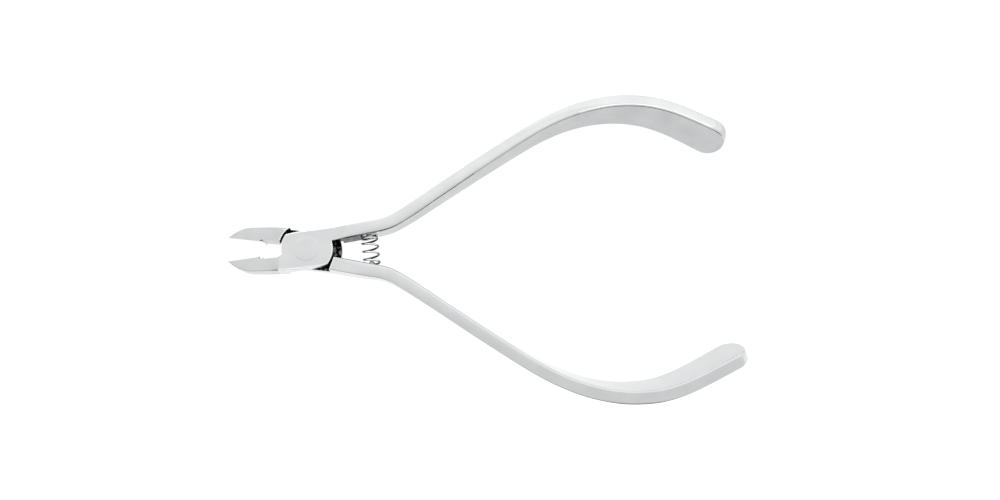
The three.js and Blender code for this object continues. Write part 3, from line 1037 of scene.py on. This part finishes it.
def wire():
    """Spring wire with painted highlights on the crests, and painted shade on the flanks and towards the
    back of the coil.
    """
    nodes = Nodes("spring_wire")
    inputs = nodes.shader.inputs
    inputs["Metallic"].default_value = 1
    normal = nodes.tree.nodes.new("ShaderNodeNewGeometry").outputs["Normal"]
    painted_highlight = nodes.ramp(nodes.part(normal, "Z"), 0, 1, *WIRE_HIGHLIGHT_NORMALS)
    back_shade_factor = nodes.ramp(nodes.part(nodes.object_place, "Z"), WIRE_BACK_SHADE, 1, *WIRE_SHADE_DEPTHS)
    dark, bright = WIRE_LIGHT_AND_SHADE_GREYS
    shade = nodes.tint(nodes.product(painted_highlight, back_shade_factor), grey(dark), grey(bright))
    nodes.link(shade, inputs["Base Color"])
    draw_marks = nodes.noise(DRAW_MARK_SCALE)
    nodes.link(nodes.ramp(draw_marks, *WIRE_ROUGHNESS), inputs["Roughness"])
    nodes.link(nodes.bump(draw_marks, DRAW_MARK_DEPTH), inputs["Normal"])
    return nodes.material


def pale_floor():
    """Pale matt floor that glows enough to stay white, more so below the tool."""
    nodes = Nodes("pale_floor")
    inputs = nodes.shader.inputs
    darker, lighter = FLOOR_GREYS
    nodes.link(nodes.tint(nodes.noise(FLOOR_PATCHES), grey(darker), grey(lighter)), inputs["Base Color"])
    inputs["Roughness"].default_value = FLOOR_ROUGHNESS
    inputs["Specular IOR Level"].default_value = FLOOR_SPECULAR
    inputs["Emission Color"].default_value = (*grey(1), 1)
    glow = nodes.ramp(nodes.part(nodes.object_place, "Y"), *FLOOR_GLOW, *FLOOR_GLOW_Y)
    nodes.link(glow, inputs["Emission Strength"])
    return nodes.material


def dress(piece, *materials):
    """Gives a piece its materials, in the order of its surfaces."""
    for material in materials:
        piece.data.materials.append(material)


polished_steel = steel(
    "polished_steel",
    dark=cool(BRIGHT_STEEL[0]),
    light=cool(BRIGHT_STEEL[1]),
    roughness=(0.12, 0.22),
    grain=ALONG_BAR,
    grain_depth=3e-6,
)
ground_steel = steel(
    "ground_jaw_steel",
    dark=cool(GROUND_STEEL[0]),
    light=cool(GROUND_STEEL[1]),
    roughness=(0.2, 0.3),
    grain=ALONG_JAW,
    grain_depth=4e-6,
)
# Near-black steel for the lap, the pocket's wall, the notch, the neck inside and the fold line: painted
# shade.
joint_shade_steel = steel(
    "painted_shade_joint_steel",
    dark=grey(JOINT_SHADE_DARK),
    light=JOINT_SHADE_LIGHT,
    roughness=(0.25, 0.5),
    grain=EVEN,
    grain_depth=5e-6,
    patch_scale=JOINT_SHADE_PATCH_SCALE,
    patch_range=JOINT_SHADE_PATCH_RANGE,
)
# Pale rough steel on narrow edge strips: a painted highlight.
edge_highlight_steel = steel(
    "painted_edge_highlight_steel",
    dark=grey(EDGE_HIGHLIGHT_STEEL[0]),
    light=grey(EDGE_HIGHLIGHT_STEEL[1]),
    roughness=(0.45, 0.55),
    grain=EVEN,
    grain_depth=2e-6,
)
# Grey steel for the jaw's burr line, and painted shade on the faint end of the front handle's fold line.
burr_and_shade_steel = steel(
    "burr_line_and_painted_shade_steel",
    dark=grey(BURR_AND_SHADE_STEEL[0]),
    light=grey(BURR_AND_SHADE_STEEL[1]),
    roughness=(0.3, 0.45),
    grain=EVEN,
    grain_depth=3e-6,
)
rivet_steel = steel(
    "rivet_steel",
    dark=cool(BRIGHT_STEEL[0]),
    light=cool(BRIGHT_STEEL[1]),
    roughness=(0.14, 0.24),
    grain=EVEN,
    grain_depth=3e-6,
)
half_surfaces = (polished_steel, joint_shade_steel, ground_steel, edge_highlight_steel, burr_and_shade_steel)

# ---- Build -----------------------------------------------------------------------------------------------

front_half = build_half(
    "front_half_steel", False, FRONT_PALM_END, FRONT_HALF_JAW_EDGE, FRONT_HALF_JOINT_EDGE
)
rear_half = build_half(
    "rear_half_steel", True, REAR_PALM_END, REAR_HALF_JAW_EDGE, REAR_HALF_JOINT_EDGE
)
rivet = build_rivet()
upper_peg = build_peg("upper_peg_pin", "upper_spring_peg", points_down=True)
lower_peg = build_peg("lower_peg_pin", "lower_spring_peg", points_down=False)
spring = build_spring()

dress(front_half, *half_surfaces)
dress(rear_half, *half_surfaces)
dress(rivet, rivet_steel)
dress(upper_peg, rivet_steel)
dress(lower_peg, rivet_steel)
dress(spring, wire())

for piece, body, node, slot in (
    (front_half, "front_lever", "front_half", "polished_steel"),
    (rear_half, "rear_lever", "rear_half", "polished_steel"),
    (rivet, "front_lever", "pivot_rivet", "rivet_steel"),
    (upper_peg, "front_lever", "upper_spring_peg", "rivet_steel"),
    (lower_peg, "rear_lever", "lower_spring_peg", "rivet_steel"),
):
    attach(piece, body)
    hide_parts(node)
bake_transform(spring)
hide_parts("barrel_spring")

# ---- Camera, floor and light -----------------------------------------------------------------------------


def add_camera():
    """Looks down on the tool, a little from the handles' lower side, with the jaws to the left."""
    toward = Vector((math.sin(math.radians(CAMERA_SIDE)), -math.sin(math.radians(CAMERA_BELOW)), 0))
    toward.z = math.sqrt(1 - toward.length_squared)
    level_right = Vector((0, 1, 0)).cross(toward).normalized()
    level_up = toward.cross(level_right)
    roll = math.radians(CAMERA_ROLL)
    right = level_right * math.cos(roll) - level_up * math.sin(roll)
    up = toward.cross(right)
    data = bpy.data.cameras.new("camera")
    data.lens = CAMERA_FOCAL_WIDTHS * data.sensor_width
    data.clip_start = CAMERA_NEAR
    camera = bpy.data.objects.new("camera", data)
    bpy.context.scene.collection.objects.link(camera)
    place = CAMERA_TARGET + toward * CAMERA_DISTANCE
    camera.matrix_world = Matrix.Translation(place) @ Matrix((right, up, toward)).transposed().to_4x4()
    bpy.context.scene.camera = camera


def add_floor():
    """A wide square just below the tool."""
    bm = bmesh.new()
    low = cad_box[0][2] - FLOOR_GAP
    corners = [(-1, -1), (1, -1), (1, 1), (-1, 1)]
    bm.faces.new([bm.verts.new((x * FLOOR_REACH, y * FLOOR_REACH, low)) for x, y in corners])
    floor = new_object("studio_floor", bm)
    dress(floor, pale_floor())


def add_softbox():
    """The key light: a broad soft box beyond the upper handle."""
    data = bpy.data.lights.new("key", "AREA")
    data.shape = "RECTANGLE"
    data.size, data.size_y = KEY_SIZE
    data.energy = KEY_RADIANCE * math.pi * KEY_SIZE[0] * KEY_SIZE[1]
    light = bpy.data.objects.new("key", data)
    bpy.context.scene.collection.objects.link(light)
    light.location = KEY_PLACE
    light.rotation_euler = (Vector(KEY_AIM) - Vector(KEY_PLACE)).to_track_quat("-Z", "Y").to_euler()
    light.visible_camera = False


def add_world():
    """White studio that brightens towards the upper handle's side, with a dark flag on the other side."""
    world = bpy.data.worlds.new("studio")
    world.use_nodes = True
    bpy.context.scene.world = world
    tree = world.node_tree
    direction = tree.nodes.new("ShaderNodeTexCoord").outputs["Generated"]
    parts = tree.nodes.new("ShaderNodeSeparateXYZ")
    tree.links.new(direction, parts.inputs["Vector"])
    factors = []
    for kind, levels in (("LINEAR", WORLD_SLOPE), ("LINEAR", WORLD_FALL), ("SMOOTHSTEP", WORLD_FLAG)):
        fade = tree.nodes.new("ShaderNodeMapRange")
        fade.interpolation_type = kind
        for socket, level in zip(("From Min", "From Max", "To Min", "To Max"), levels):
            fade.inputs[socket].default_value = level
        tree.links.new(parts.outputs["Y"], fade.inputs["Value"])
        factors.append(fade.outputs["Result"])
    strength = factors[0]
    for factor in factors[1:]:
        product = tree.nodes.new("ShaderNodeMath")
        product.operation = "MULTIPLY"
        tree.links.new(strength, product.inputs[0])
        tree.links.new(factor, product.inputs[1])
        strength = product.outputs["Value"]
    background = tree.nodes["Background"]
    background.inputs["Color"].default_value = (*grey(1), 1)
    tree.links.new(strength, background.inputs["Strength"])


add_camera()
add_floor()
add_world()
add_softbox()
bpy.context.scene.view_settings.view_transform = "Standard"
